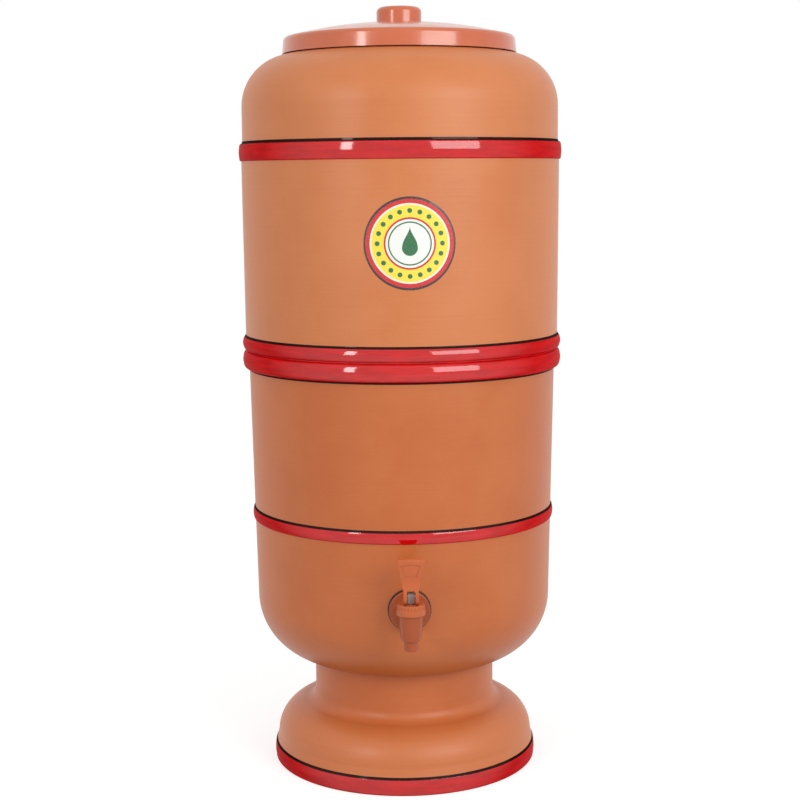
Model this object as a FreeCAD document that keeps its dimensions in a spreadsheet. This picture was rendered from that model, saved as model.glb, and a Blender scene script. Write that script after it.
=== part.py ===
import FreeCAD, Part

import math
import os
import re

import Sketcher

# A gravity water filter: a clay chamber with two filter candles stands on a clay chamber with a tap.
# Millimetres, +Z up, origin on the floor under the middle of the foot, tap towards -Y.

SIZES = {
    # Clay walls and floors
    "clay_wall": 10.0,
    "bowl_floor_thickness": 12.0,
    "upper_floor_thickness": 12.0,
    # Pedestal foot of the lower chamber
    "foot_radius": 101.1,
    "foot_band_height": 13.0,
    "foot_flare": 1.6,
    "foot_flare_height": 7.0,
    "foot_turn_radius": 25.7,
    "neck_radius": 69.9,
    "neck_length": 36.45,
    "neck_foot_round": 3.0,
    "neck_bowl_round": 1.2,
    # Bowl and wall of the lower chamber
    "bowl_turn_radius": 50.3,
    "bowl_wall_radius": 113.5,
    "lower_wall_flare": 3.9,
    "lower_wall_height": 191.0,
    # Enamelled bands
    "foot_band_proud": 0.5,
    "belly_band_rise": 60.7,
    "belly_band_height": 8.7,
    "belly_band_proud": 0.7,
    "band_chamfer": 0.7,
    "bead_proud": 1.7,
    "bead_round": 4.0,
    "lower_bead_height": 14.0,
    "upper_bead_height": 11.6,
    "upper_band_rise": 142.4,
    "upper_band_height": 12.9,
    "upper_band_proud": 0.9,
    # Upper chamber
    "spigot_gap": 1.5,
    "spigot_depth": 18.0,
    "spigot_chamfer": 3.0,
    "upper_wall_step": 2.0,
    "upper_wall_flare": 1.0,
    "upper_flare_height": 30.0,
    "shoulder_step": 1.0,
    "shoulder_rise": 27.3,
    "shoulder_turn_radius": 38.8,
    "shoulder_flat": 0.6,
    "collar_wall": 8.0,
    "collar_height": 8.5,
    "collar_chamfer": 1.5,
    # Lid
    "lid_overhang": 8.3,
    "lid_taper": 0.9,
    "lid_wall": 2.5,
    "lid_skirt_gap": 0.2,
    "lid_skirt_height": 12.9,
    "lid_corner_radius": 3.5,
    "lid_rise": 10.3,
    "lid_seat_width": 3.0,
    "knob_radius": 16.9,
    "knob_height": 11.8,
    "knob_round": 3.8,
    "knob_crown": 0.7,
    # Tap on the wall
    "tap_rise": 12.6,
    "tap_reach": 26.0,
    "tap_hole_gap": 0.75,
    "outer_gasket_radius": 15.6,
    "outer_gasket_thickness": 1.7,
    "inner_gasket_radius": 14.5,
    "inner_gasket_thickness": 2.0,
    "flange_radius": 14.9,
    "flange_thickness": 3.0,
    "flange_round": 1.0,
    "tap_neck_radius": 6.4,
    "tap_neck_flare": 3.0,
    "shank_radius": 8.0,
    "shank_spare": 3.0,
    "channel_radius": 2.6,
    "tap_nut_flats": 24.0,
    "tap_nut_thickness": 8.0,
    "tap_nut_washer_radius": 14.0,
    "tap_nut_washer_thickness": 1.5,
    "thread_gap": 0.1,
    # Valve barrel and spout, from the axis of the shank
    "barrel_drop": 14.8,
    "barrel_foot_radius": 7.3,
    "barrel_head_radius": 8.7,
    "barrel_thread_radius": 7.5,
    "chamber_radius": 5.4,
    "seat_shelf": 1.5,
    "outlet_radius": 3.8,
    "spout_radius": 5.1,
    "spout_length": 7.6,
    "spout_round": 0.6,
    # Bonnet
    "bonnet_bottom": 3.9,
    "bonnet_height": 7.5,
    "bonnet_plate": 2.4,
    "bonnet_radius": 10.4,
    "bonnet_collar_height": 3.2,
    "bonnet_grip_radius": 9.9,
    "bonnet_chamfer": 0.9,
    "bonnet_clearance": 0.6,
    "rib_count": 24,
    "rib_cut_radius": 0.6,
    "seal_radius": 3.5,
    "seal_depth": 1.3,
    # Stem, washer and spring
    "stem_radius": 2.4,
    "stem_gap": 0.08,
    "seat_gap": 0.05,
    "washer_radius": 4.7,
    "washer_thickness": 2.6,
    "stem_nib_radius": 1.5,
    "stem_button_radius": 2.1,
    "stem_button_height": 0.9,
    "stem_collar_thickness": 1.4,
    "stem_head_radius": 2.7,
    "stem_head_thickness": 4.6,
    "stem_head_gap": 0.6,
    "spring_radius": 3.9,
    "spring_wire": 0.9,
    "spring_turns": 5,
    "spring_end_gap": 0.05,
    # Lever
    "lever_gap": 0.1,
    "cam_height": 5.5,
    "stem_lift": 4.2,
    "lever_tilt": 80.0,
    "lever_pin_radius": 1.2,
    "lever_pin_inset": 0.3,
    "pin_gap": 0.05,
    "fork_width": 10.8,
    "fork_slot": 6.0,
    "fork_slot_rise": 4.6,
    "fork_slot_round": 1.2,
    "fork_back": 3.6,
    "paddle_height": 26.4,
    "paddle_width": 19.2,
    "paddle_front": 2.2,
    "paddle_back": 1.7,
    "paddle_root": 11.5,
    "lever_throat_radius": 12.0,
    "paddle_corner": 2.4,
    "dish_inset": 2.6,
    "dish_depth": 0.5,
    # Filter candles
    "candle_offset": 48.0,
    "candle_hole_gap": 0.7,
    "candle_gasket_radius": 14.0,
    "candle_gasket_thickness": 2.0,
    "candle_radius": 25.0,
    "candle_wall": 8.0,
    "candle_height": 72.0,
    "candle_seat_gap": 0.2,
    "base_wall": 2.2,
    "base_floor": 3.5,
    "base_height": 10.0,
    "nozzle_radius": 5.5,
    "nozzle_bore": 2.0,
    "candle_washer_radius": 11.0,
    "candle_washer_thickness": 2.0,
    "candle_nut_flats": 19.0,
    "candle_nut_thickness": 8.0,
    # Float valves under the candles
    "valve_gap": 1.0,
    "valve_radius": 8.5,
    "valve_socket_depth": 10.0,
    "valve_height": 17.0,
    "valve_tip_radius": 3.4,
    "valve_tip_height": 3.0,
    "valve_bore": 1.8,
    "pivot_offset": 11.0,
    "lug_thickness": 2.0,
    "lug_gap": 0.4,
    "lug_round": 3.2,
    "arm_width": 5.0,
    "arm_thickness": 3.0,
    "float_pin_radius": 1.2,
    "pad_radius": 2.2,
    "pad_thickness": 1.6,
    "pad_proud": 0.8,
    "pad_gap": 0.1,
    "float_hang": 38.0,
    "bulb_start": 34.0,
    "bulb_length": 40.0,
    "bulb_radius": 16.0,
    "bulb_round": 9.0,
    "bulb_socket_depth": 8.0,
    "bulb_socket_radius": 2.0,
    "bulb_gap": 0.1,
}

# Sizes that follow from those above
FOLLOWS = {
    "foot_turn_height": "foot_band_height + foot_flare_height",
    "foot_turn_axis": "foot_radius - foot_flare - foot_turn_radius",
    "neck_foot_height": "foot_turn_height + foot_turn_radius",
    "bowl_turn_axis": "bowl_wall_radius - bowl_turn_radius",
    "neck_bowl_height": "neck_foot_height + neck_length",
    "bowl_turn_height": "neck_bowl_height"
    " + sqrt(bowl_turn_radius ^ 2 - (neck_radius - bowl_turn_axis) ^ 2)",
    "bowl_floor": "bowl_turn_height - bowl_turn_radius + clay_wall",
    "hollow_top": "bowl_floor - bowl_floor_thickness",
    "joint_wall_radius": "bowl_wall_radius + lower_wall_flare",
    "joint_height": "bowl_turn_height + lower_wall_height",
    "lower_mouth_radius": "joint_wall_radius - clay_wall",
    "wall_slope": "lower_wall_flare / lower_wall_height",
    "belly_band_bottom": "bowl_turn_height + belly_band_rise",
    "belly_band_radius": "bowl_wall_radius + belly_band_proud"
    " + wall_slope * (belly_band_rise + belly_band_height)",
    "upper_foot_radius": "joint_wall_radius + upper_wall_step",
    "upper_band_wall_radius": "upper_foot_radius + upper_wall_flare",
    "upper_band_bottom": "joint_height + upper_band_rise",
    "bead_radius": "upper_foot_radius + bead_proud",
    "spigot_radius": "lower_mouth_radius - spigot_gap",
    "spigot_bottom": "joint_height - spigot_depth",
    "upper_floor": "spigot_bottom + upper_floor_thickness",
    "shoulder_radius": "upper_band_wall_radius - shoulder_step",
    "shoulder_turn_axis": "shoulder_radius - shoulder_turn_radius",
    "shoulder_turn_height": "upper_band_bottom + upper_band_height + shoulder_rise",
    "shoulder_top": "shoulder_turn_height + shoulder_turn_radius",
    "collar_radius": "shoulder_turn_axis - shoulder_flat",
    "collar_top": "shoulder_top + collar_height",
    "upper_mouth_radius": "collar_radius - collar_wall",
    "lid_bottom": "shoulder_top + lid_skirt_gap",
    "lid_corner": "lid_bottom + lid_skirt_height",
    "lid_radius": "collar_radius + lid_overhang",
    "lid_dome_edge": "lid_radius - lid_taper - lid_corner_radius",
    "lid_dome_radius": "(lid_dome_edge ^ 2 + lid_rise ^ 2) / (2 * lid_rise)",
    "lid_dome_centre": "lid_corner + lid_rise - lid_dome_radius",
    "knob_foot": "lid_dome_centre + sqrt(lid_dome_radius ^ 2 - knob_radius ^ 2)",
    "knob_bore": "knob_radius - lid_wall",
    "knob_bore_foot": "lid_dome_centre + sqrt((lid_dome_radius - lid_wall) ^ 2 - knob_bore ^ 2)",
    "lid_inner_dome_edge": "sqrt((lid_dome_radius - lid_wall) ^ 2"
    " - (lid_corner - lid_wall - lid_dome_centre) ^ 2)",
    "knob_top": "knob_foot + knob_height",
    "knob_face": "knob_radius - knob_round",
    "knob_crown_radius": "(knob_face ^ 2 + knob_crown ^ 2) / (2 * knob_crown)",
    "lid_seat_middle": "(upper_mouth_radius + collar_radius) / 2",
    "tap_height": "bowl_turn_height + tap_rise",
    "tap_wall_radius": "bowl_wall_radius + wall_slope * tap_rise",
    "tap_axis": "-(tap_wall_radius + tap_reach)",
    "flange_back": "tap_reach - outer_gasket_thickness",
    "flange_front": "flange_back - flange_thickness",
    "inner_gasket_face": "tap_reach + clay_wall + inner_gasket_thickness",
    "tap_nut_back": "inner_gasket_face + tap_nut_washer_thickness + tap_nut_thickness",
    "shank_end": "tap_nut_back + shank_spare",
    "spout_bottom": "-(barrel_drop + spout_length)",
    "seat_level": "seat_shelf - barrel_drop",
    "bonnet_top": "bonnet_bottom + bonnet_height",
    "barrel_top": "bonnet_top - bonnet_plate",
    "bonnet_grip_foot": "bonnet_bottom + bonnet_collar_height",
    "washer_bottom": "seat_level + seat_gap",
    "washer_top": "washer_bottom + washer_thickness",
    "stem_collar_top": "washer_top + stem_collar_thickness",
    "pin_level": "bonnet_top + lever_gap + cam_height",
    "cam_rate": "stem_lift / lever_tilt * 180 / pi",
    "candle_base_radius": "candle_radius + candle_seat_gap + base_wall",
    "candle_seat": "candle_gasket_thickness + base_floor",
    "candle_dome_foot": "candle_seat + candle_height",
    "candle_nut_top": "-(upper_floor_thickness + candle_washer_thickness)",
    "valve_top": "candle_nut_top - candle_nut_thickness - valve_gap",
    "valve_bottom": "valve_top - valve_height",
    "nozzle_end": "valve_top - valve_socket_depth",
    "pad_top": "arm_thickness / 2 + pad_proud",
    "pivot_level": "valve_bottom - pad_gap - pad_top",
    "bulb_end": "bulb_start + bulb_length",
}

CAM_ARCS = 4  # arcs that make up the cam of the lever
LEFT, RIGHT = 1, -1  # the side of the way on which the centre of a bend lies
PAST = "5"  # how far a cut runs past the face that it starts from

document = FreeCAD.newDocument("water_filter")
sheet = document.addObject("Spreadsheet::Sheet", "Sizes")
for row, (word, size) in enumerate(SIZES.items(), start=1):
    sheet.set(f"A{row}", word)
    sheet.set(f"B{row}", str(size))
    sheet.setAlias(f"B{row}", word)
document.recompute()

parts = []  # every piece that is written out


def cells(formula):
    """Spell out a size formula in cells of the sheet."""

    def spell(match):
        word = match.group(0)
        if word in FOLLOWS:
            return f"({cells(FOLLOWS[word])})"
        return f"Sizes.{word}" if word in SIZES else word

    return re.sub(r"[a-z][a-z_]+", spell, formula)


def size_of(formula):
    """The number that a size formula gives."""
    return float(sheet.evalExpression(cells(formula)))


def bind(item, name, formula):
    """Bind a property of an object to a size formula."""
    item.setExpression(name, cells(formula))


def place(item, x="0", y="0", z="0", tilt=None):
    """Put a piece at a place, turned about the X axis if a tilt is given."""
    if tilt is not None:
        turn = FreeCAD.Rotation(FreeCAD.Vector(1, 0, 0), 1)
        item.Placement = FreeCAD.Placement(FreeCAD.Vector(), turn)
        bind(item, "Placement.Rotation.Angle", tilt)
    for axis, formula in zip("xyz", (x, y, z)):
        bind(item, f"Placement.Base.{axis}", formula)


def new_body(name, **where):
    """An empty body for one piece."""
    body = document.addObject("PartDesign::Body", name)
    body.Label = name
    place(body, **where)
    parts.append(body)
    return body


def new_sketch(body, name, plane, offset="0"):
    """A sketch on one of the body's own planes, moved along its normal by an offset."""
    sketch = body.newObject("Sketcher::SketchObject", name)
    support = next(item for item in body.Origin.OriginFeatures if item.Role == plane)
    sketch.AttachmentSupport = [(support, "")]
    sketch.MapMode = "FlatFace"
    if offset != "0":
        bind(sketch, "AttachmentOffset.Base.z", offset)
    return sketch


def fix_point(sketch, edge, end, x, y):
    """Hold one point of an edge at two formulas."""
    for formula, kind, axis in ((x, "DistanceX", -2), (y, "DistanceY", -1)):
        if formula == "0":
            sketch.addConstraint(Sketcher.Constraint("PointOnObject", edge, end, axis))
            continue
        rule = Sketcher.Constraint(kind, edge, end, size_of(formula))
        bind(sketch, f"Constraints[{sketch.addConstraint(rule)}]", formula)


def bend(start, end, radius, side):
    """The arc of less than half a turn from start to end, its centre on one side of the way."""
    chord = end - start
    across = FreeCAD.Vector(-chord.y, chord.x, 0).normalize()
    reach = math.sqrt(radius**2 - chord.Length**2 / 4)
    centre = (start + end) / 2 + across * (side * reach)
    first, last = (start, end) if side == LEFT else (end, start)
    angles = [math.atan2(point.y - centre.y, point.x - centre.x) for point in (first, last)]
    circle = Part.Circle(centre, FreeCAD.Vector(0, 0, 1), radius)
    return Part.ArcOfCircle(circle, *angles)


def outline(sketch, corners):
    """Draw a closed outline. A corner is (x, y), or (x, y, radius, side) where an arc leads to it."""
    points = [FreeCAD.Vector(size_of(x), size_of(y), 0) for x, y, *_ in corners]
    ends = []
    for number, corner in enumerate(corners):
        start, end = points[number - 1], points[number]
        if len(corner) == 2:
            edge = sketch.addGeometry(Part.LineSegment(start, end))
            ends.append((edge, 1, 2))
            continue
        radius, side = corner[2:]
        edge = sketch.addGeometry(bend(start, end, size_of(radius), side))
        ends.append((edge, 1, 2) if side == LEFT else (edge, 2, 1))
        rule = Sketcher.Constraint("Radius", edge, size_of(radius))
        bind(sketch, f"Constraints[{sketch.addConstraint(rule)}]", radius)
    for number, corner in enumerate(corners):
        edge, _, finish = ends[number]
        following, start, _ = ends[(number + 1) % len(ends)]
        sketch.addConstraint(Sketcher.Constraint("Coincident", edge, finish, following, start))
        fix_point(sketch, edge, finish, corner[0], corner[1])


def ring(sketch, x, y, radius):
    """Draw a circle."""
    middle = FreeCAD.Vector(size_of(x), size_of(y), 0)
    circle = Part.Circle(middle, FreeCAD.Vector(0, 0, 1), size_of(radius))
    edge = sketch.addGeometry(circle)
    fix_point(sketch, edge, 3, x, y)
    rule = Sketcher.Constraint("Radius", edge, size_of(radius))
    bind(sketch, f"Constraints[{sketch.addConstraint(rule)}]", radius)


def turn(body, name, corners, cut=False, plane="XZ_Plane", axis="V_Axis"):
    """Turn an outline right round an axis of its sketch, as material or as a cut."""
    sketch = new_sketch(body, f"{name}_outline", plane)
    outline(sketch, corners)
    kind = "PartDesign::Groove" if cut else "PartDesign::Revolution"
    feature = body.newObject(kind, name)
    feature.Profile = sketch
    feature.ReferenceAxis = (sketch, [axis])
    feature.Angle = 360
    return feature


def extrude(body, name, sketch, depth=None, cut=False, both_ways=False, backwards=False):
    """Pad or pocket a sketch by a depth, or a pocket through all where none is given."""
    feature = body.newObject("PartDesign::Pocket" if cut else "PartDesign::Pad", name)
    feature.Profile = sketch
    if depth is None:
        feature.Type = "ThroughAll"
    else:
        bind(feature, "Length", depth)
    feature.SideType = "Symmetric" if both_ways else "One side"
    feature.Reversed = backwards
    return feature


def round_edges(body, name, radius, wanted):
    """Round the edges that a test picks out."""
    document.recompute()
    base = body.Tip
    picked = [f"Edge{n}" for n, edge in enumerate(base.Shape.Edges, start=1) if wanted(edge)]
    feature = body.newObject("PartDesign::Fillet", name)
    feature.Base = (base, picked)
    bind(feature, "Radius", radius)


def circle_at(radius, height):
    """A test for a level circular edge of a radius at a height, both as formulas."""

    def wanted(edge):
        curve = edge.Curve
        return (
            isinstance(curve, Part.Circle)
            and abs(curve.Radius - size_of(radius)) < 0.01
            and abs(curve.Center.z - size_of(height)) < 0.01
            and abs(curve.Axis.z) > 0.999
        )

    return wanted


def band(body, name, bottom, height, radius, root, corner, rounded=False):
    """A raised ring round a chamber, its corners chamfered or rounded."""
    top = f"{bottom} + {height}"
    shoulder = f"{radius} - {corner}"
    way = (corner, LEFT) if rounded else ()
    corners = [
        (root, bottom),
        (shoulder, bottom),
        (radius, f"{bottom} + {corner}", *way),
        (radius, f"{top} - {corner}"),
        (shoulder, top, *way),
        (root, top),
    ]
    turn(body, name, corners)


def washer(name, radius, bore, thickness, **where):
    """A flat ring that lies level."""
    body = new_body(name, **where)
    corners = [(bore, "0"), (radius, "0"), (radius, thickness), (bore, thickness)]
    turn(body, f"{name}_ring", corners)
    return body


def hexagon(sketch, flats):
    """Draw a hexagon by its width across the flats."""
    corners = []
    for number in range(6):
        angle = 10 + 60 * number
        corners.append((f"{flats} / sqrt(3) * cos({angle})", f"{flats} / sqrt(3) * sin({angle})"))
    outline(sketch, corners)


def pot_outside():
    """The outline of the lower pot's outside, without its bands."""
    return [
        ("0", "0"),
        ("foot_radius", "0"),
        ("foot_radius", "foot_band_height"),
        ("foot_radius - foot_flare", "foot_turn_height"),
        ("foot_turn_axis", "neck_foot_height", "foot_turn_radius", LEFT),
        ("neck_radius", "neck_foot_height"),
        ("neck_radius", "neck_bowl_height"),
        ("bowl_wall_radius", "bowl_turn_height", "bowl_turn_radius", LEFT),
        ("joint_wall_radius", "joint_height"),
        ("0", "joint_height"),
    ]


def pot_bowl():
    """The outline of the lower pot's inside."""
    inner_turn = "bowl_turn_radius - clay_wall"
    return [
        ("0", "bowl_floor"),
        ("bowl_turn_axis", "bowl_floor"),
        ("bowl_wall_radius - clay_wall", "bowl_turn_height", inner_turn, LEFT),
        ("lower_mouth_radius", "joint_height"),
        ("lower_mouth_radius", f"joint_height + {PAST}"),
        ("0", f"joint_height + {PAST}"),
    ]


def lower_chamber():
    """The lower pot with its foot, raised bands, bowl, hollow foot and tap hole."""
    body = new_body("lower_chamber")
    turn(body, "pot", pot_outside())
    round_edges(body, "foot_crease", "neck_foot_round", circle_at("neck_radius", "neck_foot_height"))
    round_edges(body, "bowl_crease", "neck_bowl_round", circle_at("neck_radius", "neck_bowl_height"))
    foot_edge = "foot_radius + foot_band_proud"
    foot_root = "foot_radius - clay_wall / 2"
    band(body, "foot_band", "0", "foot_band_height", foot_edge, foot_root, "band_chamfer")
    belly_root = "bowl_wall_radius - clay_wall / 2"
    band(
        body,
        "belly_band",
        "belly_band_bottom",
        "belly_band_height",
        "belly_band_radius",
        belly_root,
        "band_chamfer",
    )
    band(
        body,
        "lower_bead",
        "joint_height - lower_bead_height",
        "lower_bead_height",
        "bead_radius",
        "joint_wall_radius - clay_wall / 2",
        "bead_round",
        rounded=True,
    )
    turn(body, "bowl", pot_bowl(), cut=True)
    hollow = [
        ("0", f"-{PAST}"),
        ("foot_radius - clay_wall", f"-{PAST}"),
        ("foot_radius - clay_wall", "foot_band_height"),
        ("foot_radius - foot_flare - clay_wall", "foot_turn_height"),
        (
            "foot_turn_axis",
            "neck_foot_height - clay_wall",
            "foot_turn_radius - clay_wall",
            LEFT,
        ),
        ("neck_radius - clay_wall", "neck_foot_height - clay_wall"),
        ("neck_radius - clay_wall", "hollow_top"),
        ("0", "hollow_top"),
    ]
    turn(body, "foot_hollow", hollow, cut=True)
    hole = new_sketch(body, "tap_hole_circle", "XZ_Plane")
    ring(hole, "0", "tap_height", "shank_radius + tap_hole_gap")
    extrude(body, "tap_hole", hole, cut=True, backwards=True)


def upper_chamber():
    """The upper pot with its spigot, bands, shoulder, collar and the holes for the candles."""
    body = new_body("upper_chamber")
    outside = [
        ("0", "spigot_bottom"),
        ("spigot_radius - spigot_chamfer", "spigot_bottom"),
        ("spigot_radius", "spigot_bottom + spigot_chamfer"),
        ("spigot_radius", "joint_height"),
        ("upper_foot_radius", "joint_height"),
        ("upper_band_wall_radius", "upper_band_bottom"),
        ("shoulder_radius", "upper_band_bottom + upper_band_height"),
        ("shoulder_radius", "shoulder_turn_height"),
        ("shoulder_turn_axis", "shoulder_top", "shoulder_turn_radius", LEFT),
        ("collar_radius", "shoulder_top"),
        ("collar_radius", "collar_top - collar_chamfer"),
        ("collar_radius - collar_chamfer", "collar_top"),
        ("0", "collar_top"),
    ]
    turn(body, "chamber_outside", outside)
    band(
        body,
        "upper_bead",
        "joint_height",
        "upper_bead_height",
        "bead_radius",
        "upper_foot_radius - clay_wall / 2",
        "bead_round",
        rounded=True,
    )
    band(
        body,
        "upper_band",
        "upper_band_bottom",
        "upper_band_height",
        "upper_band_wall_radius + upper_band_proud",
        "upper_band_wall_radius - clay_wall / 2",
        "upper_band_proud",
    )
    inside = [
        ("0", "upper_floor"),
        ("spigot_radius - clay_wall", "upper_floor"),
        ("upper_foot_radius - clay_wall", "upper_floor + upper_flare_height"),
        ("upper_band_wall_radius - clay_wall", "upper_band_bottom"),
        ("shoulder_radius - clay_wall", "shoulder_turn_height"),
        (
            "shoulder_turn_axis",
            "shoulder_top - clay_wall",
            "shoulder_turn_radius - clay_wall",
            LEFT,
        ),
        ("upper_mouth_radius", "shoulder_top - clay_wall"),
        ("upper_mouth_radius", f"collar_top + {PAST}"),
        ("0", f"collar_top + {PAST}"),
    ]
    turn(body, "chamber_inside", inside, cut=True)
    holes = new_sketch(body, "candle_hole_circles", "XY_Plane", offset="upper_floor")
    for sign in ("-", ""):
        ring(holes, f"{sign}candle_offset", "0", "nozzle_radius + candle_hole_gap")
    extrude(body, "candle_holes", holes, depth=f"upper_floor_thickness + {PAST}", cut=True)


def lid():
    """The moulded lid: a skirt over the collar, a shallow dome, a seat ring and a cored knob."""
    body = new_body("lid")
    skirt_top = "lid_corner - lid_corner_radius"
    outside = [
        ("0", "lid_bottom"),
        ("lid_radius", "lid_bottom"),
        ("lid_radius - lid_taper", skirt_top),
        ("lid_dome_edge", "lid_corner", "lid_corner_radius", LEFT),
        ("knob_radius", "knob_foot", "lid_dome_radius", LEFT),
        ("knob_radius", "knob_top - knob_round"),
        ("knob_face", "knob_top", "knob_round", LEFT),
        ("0", "knob_top + knob_crown", "knob_crown_radius", LEFT),
    ]
    turn(body, "lid_outside", outside)
    inside = [
        ("0", f"lid_bottom - {PAST}"),
        ("lid_radius - lid_wall", f"lid_bottom - {PAST}"),
        ("lid_radius - lid_wall", "lid_bottom"),
        ("lid_radius - lid_taper - lid_wall", skirt_top),
        ("lid_inner_dome_edge", "lid_corner - lid_wall"),
        ("knob_bore", "knob_bore_foot", "lid_dome_radius - lid_wall", LEFT),
        ("knob_bore", "knob_top - lid_wall"),
        ("0", "knob_top - lid_wall"),
    ]
    turn(body, "lid_inside", inside, cut=True)
    seat = [
        ("lid_seat_middle - lid_seat_width / 2", "collar_top"),
        ("lid_seat_middle + lid_seat_width / 2", "collar_top"),
        ("lid_seat_middle + lid_seat_width / 2", "lid_corner"),
        ("lid_seat_middle - lid_seat_width / 2", "lid_corner"),
    ]
    turn(body, "lid_seat_ring", seat)


def tap_body():
    """Valve barrel with spout, neck, flange and shank, bored for the water."""
    body = new_body("tap_body", y="tap_axis", z="tap_height")
    shank = [
        ("0", "0"),
        ("0", "tap_neck_radius"),
        ("flange_front - tap_neck_flare", "tap_neck_radius"),
        ("flange_front", "tap_neck_radius + tap_neck_flare", "tap_neck_flare", LEFT),
        ("flange_front", "flange_radius - flange_round"),
        ("flange_front + flange_round", "flange_radius", "flange_round", RIGHT),
        ("flange_back", "flange_radius"),
        ("flange_back", "shank_radius"),
        ("shank_end", "shank_radius"),
        ("shank_end", "0"),
    ]
    turn(body, "shank", shank, plane="YZ_Plane", axis="H_Axis")
    recess = [
        ("0", "bonnet_bottom"),
        ("bonnet_radius + bonnet_clearance", "bonnet_bottom"),
        ("bonnet_radius + bonnet_clearance", f"tap_neck_radius + {PAST}"),
        ("0", f"tap_neck_radius + {PAST}"),
    ]
    turn(body, "bonnet_recess", recess, cut=True)
    barrel = [
        ("0", "spout_bottom"),
        ("spout_radius - spout_round", "spout_bottom"),
        ("spout_radius", "spout_bottom + spout_round", "spout_round", LEFT),
        ("spout_radius", "-barrel_drop"),
        ("barrel_foot_radius - spout_round", "-barrel_drop"),
        ("barrel_foot_radius", "spout_round - barrel_drop", "spout_round", LEFT),
        ("barrel_head_radius", "bonnet_bottom"),
        ("barrel_thread_radius", "bonnet_bottom"),
        ("barrel_thread_radius", "barrel_top"),
        ("0", "barrel_top"),
    ]
    turn(body, "barrel", barrel)
    valve_bore = [
        ("0", f"spout_bottom - {PAST}"),
        ("outlet_radius", f"spout_bottom - {PAST}"),
        ("outlet_radius", "seat_level"),
        ("chamber_radius", "seat_level"),
        ("chamber_radius", f"barrel_top + {PAST}"),
        ("0", f"barrel_top + {PAST}"),
    ]
    turn(body, "valve_bore", valve_bore, cut=True)
    channel = [
        ("0", "0"),
        ("0", "channel_radius"),
        (f"shank_end + {PAST}", "channel_radius"),
        (f"shank_end + {PAST}", "0"),
    ]
    turn(body, "channel", channel, cut=True, plane="YZ_Plane", axis="H_Axis")


def tap_bonnet():
    """Ribbed cap that closes the barrel and guides the stem."""
    body = new_body("tap_bonnet", y="tap_axis", z="tap_height")
    stem_hole = "stem_radius + stem_gap"
    thread = "barrel_thread_radius + thread_gap"
    seal_top = "barrel_top + seal_depth"
    cap = [
        (thread, "bonnet_bottom"),
        ("bonnet_radius", "bonnet_bottom"),
        ("bonnet_radius", "bonnet_grip_foot"),
        ("bonnet_grip_radius", "bonnet_grip_foot + bonnet_radius - bonnet_grip_radius"),
        ("bonnet_grip_radius", "bonnet_top - bonnet_chamfer"),
        ("bonnet_grip_radius - bonnet_chamfer", "bonnet_top"),
        (stem_hole, "bonnet_top"),
        (stem_hole, seal_top),
        ("seal_radius", seal_top),
        ("seal_radius", "barrel_top"),
        (thread, "barrel_top"),
    ]
    turn(body, "cap", cap)
    groove = new_sketch(body, "rib_groove_circle", "XY_Plane", offset=f"bonnet_top + {PAST}")
    ring(groove, "bonnet_grip_radius + rib_cut_radius / 3", "0", "rib_cut_radius")
    depth = f"{PAST} + bonnet_height - bonnet_collar_height - (bonnet_radius - bonnet_grip_radius)"
    cut = extrude(body, "rib_groove", groove, depth=depth, cut=True)
    document.recompute()
    ribs = body.newObject("PartDesign::PolarPattern", "rib_grooves")
    ribs.Originals = [cut]
    ribs.Axis = (groove, ["N_Axis"])
    ribs.Angle = 360
    bind(ribs, "Occurrences", "rib_count")
    body.Tip = ribs


def tap_stem():
    """Stem with a snap-in nib for its washer, a spring collar and a flat-sided head."""
    body = new_body("tap_stem", y="tap_axis", z="tap_height")
    rod = [
        ("0", "washer_bottom - stem_button_height"),
        ("stem_nib_radius", "washer_bottom - stem_button_height"),
        ("stem_button_radius", "washer_bottom"),
        ("stem_nib_radius", "washer_bottom"),
        ("stem_nib_radius", "washer_top"),
        ("washer_radius", "washer_top"),
        ("washer_radius", "stem_collar_top"),
        ("stem_radius", "stem_collar_top"),
        ("stem_radius", "bonnet_top + stem_head_gap"),
        ("0", "bonnet_top + stem_head_gap"),
    ]
    turn(body, "rod", rod)
    head = new_sketch(body, "head_outline", "YZ_Plane")
    corners = [
        ("-stem_head_radius", "bonnet_top + stem_head_gap"),
        ("stem_head_radius", "bonnet_top + stem_head_gap"),
        ("stem_head_radius", "pin_level"),
        ("0", "pin_level + stem_head_radius", "stem_head_radius", LEFT),
        ("-stem_head_radius", "pin_level", "stem_head_radius", LEFT),
    ]
    outline(head, corners)
    extrude(body, "head", head, depth="stem_head_thickness", both_ways=True)
    eye = new_sketch(body, "eye_circle", "YZ_Plane")
    ring(eye, "0", "pin_level", "lever_pin_radius + pin_gap")
    extrude(body, "eye", eye, cut=True, both_ways=True)


def cam_corners():
    """The cam of the lever, which lifts the pin in step with the tilt.

    The foot of the cam stands off from the pin by cam_height plus cam_rate for each radian of
    tilt. Each arc spans the same tilt and takes the radius that the curve has half way along it,
    so every arc runs on from the last without a kink.
    """
    step = f"lever_tilt / {CAM_ARCS}"
    rise = f"stem_lift / {CAM_ARCS}"
    centre_y, centre_z = "-cam_rate", f"{rise} / 2"
    corners = [("-cam_rate", "-cam_height")]
    for number in range(1, CAM_ARCS + 1):
        radius = f"cam_height + {rise} * {number - 0.5}"
        angle = f"{step} * {number}"
        y = f"{centre_y} - ({radius}) * sin({angle})"
        z = f"{centre_z} - ({radius}) * cos({angle})"
        corners.append((y, z, radius, RIGHT))
        centre_y = f"{centre_y} + {rise} * sin({angle})"
        centre_z = f"{centre_z} + {rise} * cos({angle})"
    return corners


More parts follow.
